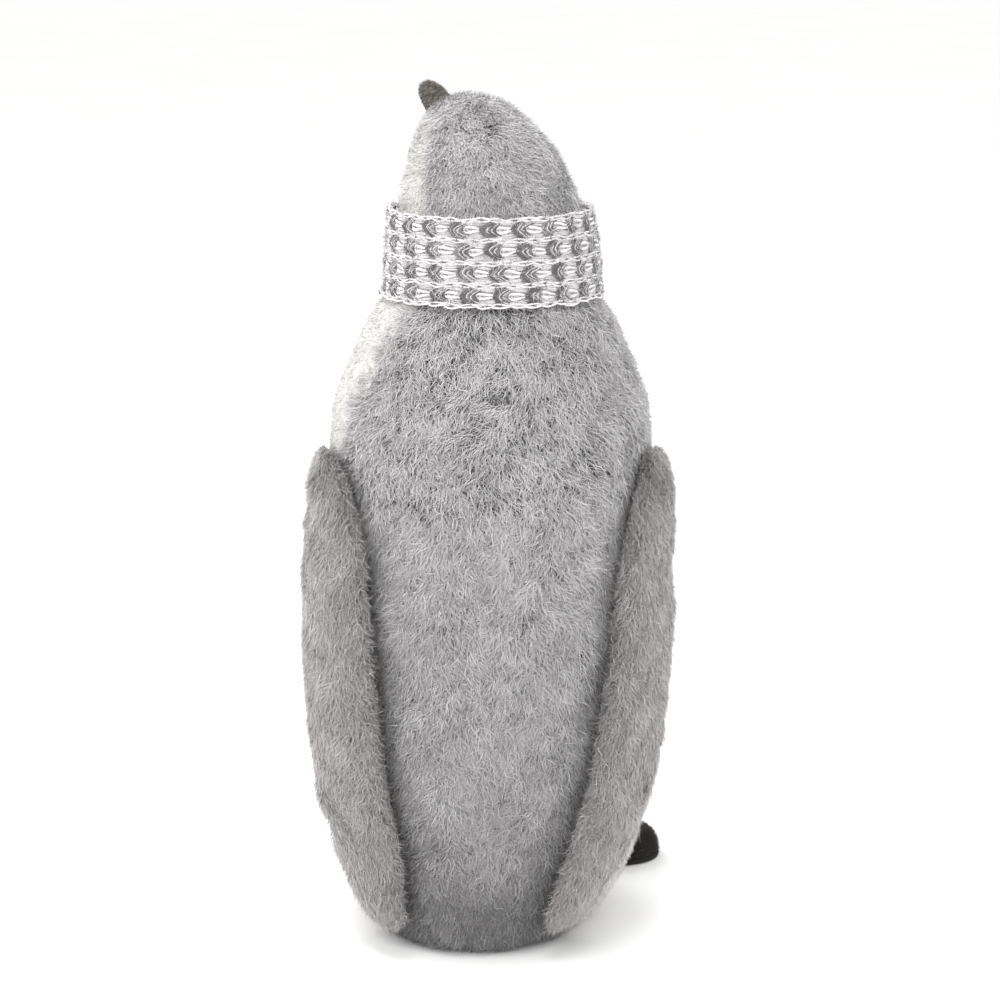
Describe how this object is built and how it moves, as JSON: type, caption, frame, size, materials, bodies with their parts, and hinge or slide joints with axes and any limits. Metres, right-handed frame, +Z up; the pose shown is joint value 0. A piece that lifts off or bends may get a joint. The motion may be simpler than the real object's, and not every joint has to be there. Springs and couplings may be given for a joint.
{
  "type": "plush penguin",
  "caption": "Standing stuffed penguin with faux-fur back, white belly, knitted scarf, hanging flippers and plush feet, looking up to one side.",
  "frame": {"origin": "on the flat underside, near its middle, on the surface the penguin stands on", "axes": "+Z up, -Y the way the penguin's body faces, +X its left side"},
  "size_m": [0.1781, 0.1739, 0.4006],
  "materials": {
    "grey_fur": "heathered grey faux fur, pile 8 to 10 mm lying downwards",
    "white_plush": "white short-pile velvety plush",
    "fibre": "white polyester fibre filling",
    "bag_cloth": "plain cotton bag of plastic pellets",
    "board": "grey-brown greyboard stiffener",
    "base_felt": "grey felted fabric",
    "beak_felt": "charcoal wool felt with brushed strands",
    "eye_plastic": "glossy black plastic",
    "washer_plastic": "natural translucent white plastic",
    "wing_lining": "grey short-pile fabric",
    "knit": "white and grey jacquard knit in fluffy yarn",
    "black_plush": "black short-pile plush",
    "sole_felt": "black felt"
  },
  "bodies": {
    "body": {"back_panel": "grey_fur", "front_panel": "white_plush", "stuffing": "fibre", "weight_bag": "bag_cloth", "base_board": "board", "base_panel": "base_felt", "upper_beak": "beak_felt", "lower_beak": "beak_felt", "left_eye": "eye_plastic", "right_eye": "eye_plastic", "left_eye_washer": "washer_plastic", "right_eye_washer": "washer_plastic", "scarf": "knit"},
    "left_wing": {"left_wing_fur": "grey_fur", "left_wing_wadding": "fibre", "left_wing_lining": "wing_lining"},
    "right_wing": {"right_wing_fur": "grey_fur", "right_wing_wadding": "fibre", "right_wing_lining": "wing_lining"},
    "left_foot": {"left_foot_upper": "black_plush", "left_foot_filling": "fibre", "left_foot_sole": "sole_felt"},
    "right_foot": {"right_foot_upper": "black_plush", "right_foot_filling": "fibre", "right_foot_sole": "sole_felt"}
  },
  "joints": [
    {"name": "left_wing_lift", "type": "hinge", "parent": "body", "child": "left_wing", "pos_m": [0.082, 0.022, 0.2325], "axis": [0, -1, 0], "range_deg": [0, 75]},
    {"name": "right_wing_lift", "type": "hinge", "parent": "body", "child": "right_wing", "pos_m": [-0.082, 0.022, 0.2325], "axis": [0, 1, 0], "range_deg": [0, 75]},
    {"name": "left_foot_flex", "type": "hinge", "parent": "body", "child": "left_foot", "pos_m": [0.04718, -0.03661, 0.001], "axis": [-0.8988, -0.4384, 0], "range_deg": [0, 15]},
    {"name": "right_foot_flex", "type": "hinge", "parent": "body", "child": "right_foot", "pos_m": [-0.03883, -0.03823, 0.001], "axis": [-0.6157, 0.788, 0], "range_deg": [0, 15]}
  ]
}
